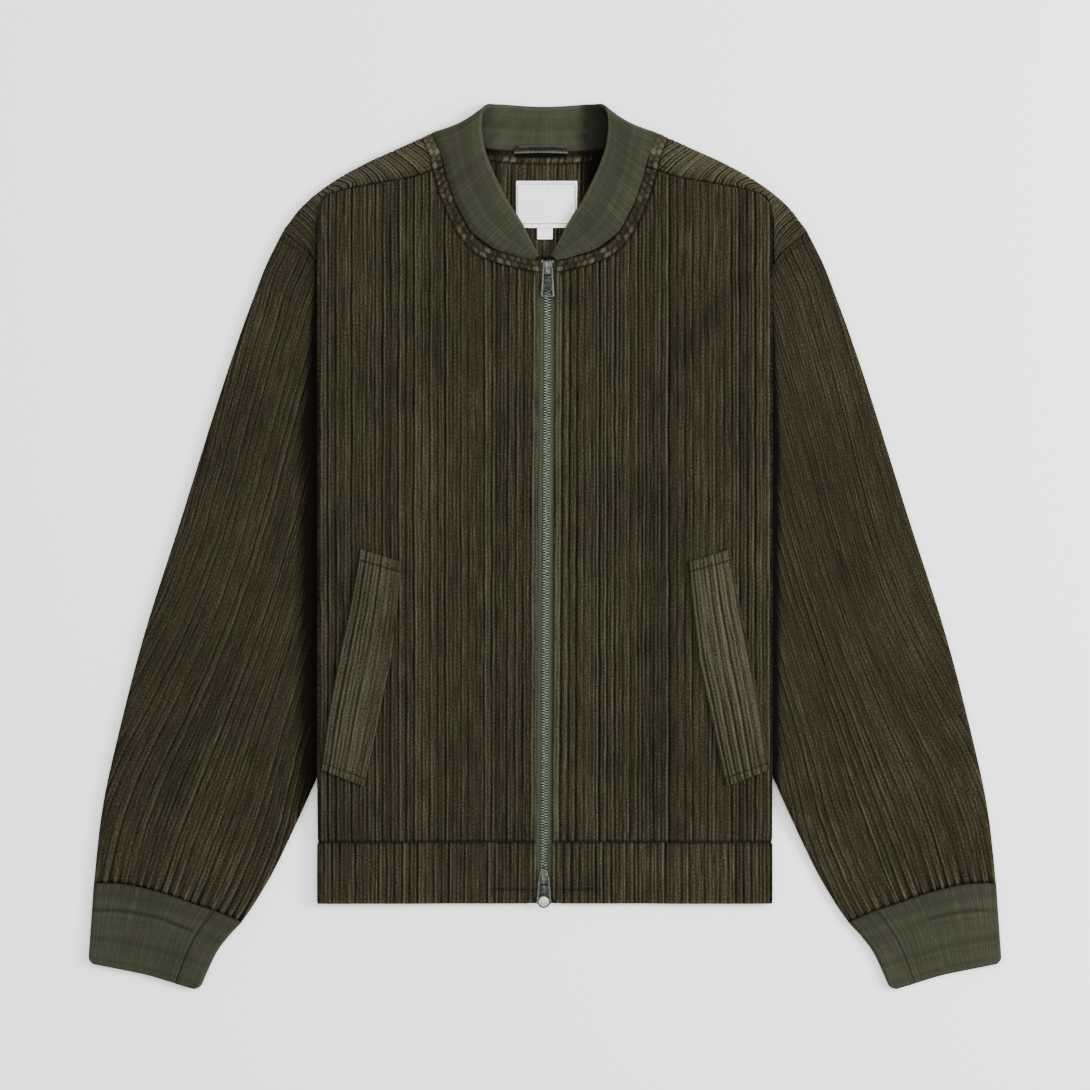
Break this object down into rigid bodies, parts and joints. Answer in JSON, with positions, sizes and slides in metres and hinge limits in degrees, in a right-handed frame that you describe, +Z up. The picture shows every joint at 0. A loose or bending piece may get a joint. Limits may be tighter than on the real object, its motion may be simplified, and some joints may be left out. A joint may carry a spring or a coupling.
{
  "type": "corduroy bomber jacket",
  "caption": "Wide-wale corduroy bomber jacket laid flat on its back, zipped up, with a rib-knit collar and cuffs, slanted welt pockets and a two-way metal zip.",
  "frame": {"origin": "centre of the underside of the whole jacket's box, on the surface it lies on", "axes": "+X across the jacket to the right seen from above, +Y from the hem to the collar, +Z up out of the jacket's front"},
  "size_m": [0.801, 0.78, 0.0148],
  "materials": {
    "corduroy": "wide-wale corduroy, brown olive, soft nap",
    "rib_knit": "fine rib knit, grey green",
    "tape": "woven tape, grey green",
    "label": "white woven satin",
    "zip_teeth": "bright metal teeth",
    "zip_metal": "gunmetal, satin"
  },
  "bodies": {
    "jacket": {"back_panel": "corduroy", "hem_band_back": "corduroy", "collar": "rib_knit", "back_neck_facing": "corduroy", "neck_label": "label", "size_tab": "label", "hanger_loop": "tape", "front_left": "corduroy", "hem_band_left": "corduroy", "sleeve_left": "corduroy", "cuff_left": "rib_knit", "pocket_welt_left": "corduroy", "zip_tape_left": "tape", "front_right": "corduroy", "hem_band_right": "corduroy", "sleeve_right": "corduroy", "cuff_right": "rib_knit", "pocket_welt_right": "corduroy", "zip_tape_right": "tape", "zip_chain": "zip_teeth", "zip_slider_top": "zip_metal", "zip_slider_bottom": "zip_metal"},
    "top_pull": {"zip_pull_top": "zip_metal"},
    "bottom_pull": {"zip_pull_bottom": "zip_metal"}
  },
  "joints": [
    {"name": "top_pull_hinge", "type": "hinge", "parent": "jacket", "child": "top_pull", "pos_m": [0.00227, 0.2434, 0.0071], "axis": [-1, 0, 0], "range_deg": [0, 150]},
    {"name": "bottom_pull_hinge", "type": "hinge", "parent": "jacket", "child": "bottom_pull", "pos_m": [-0.00105, -0.29, 0.0071], "axis": [-1, 0, 0], "range_deg": [0, 150]}
  ]
}
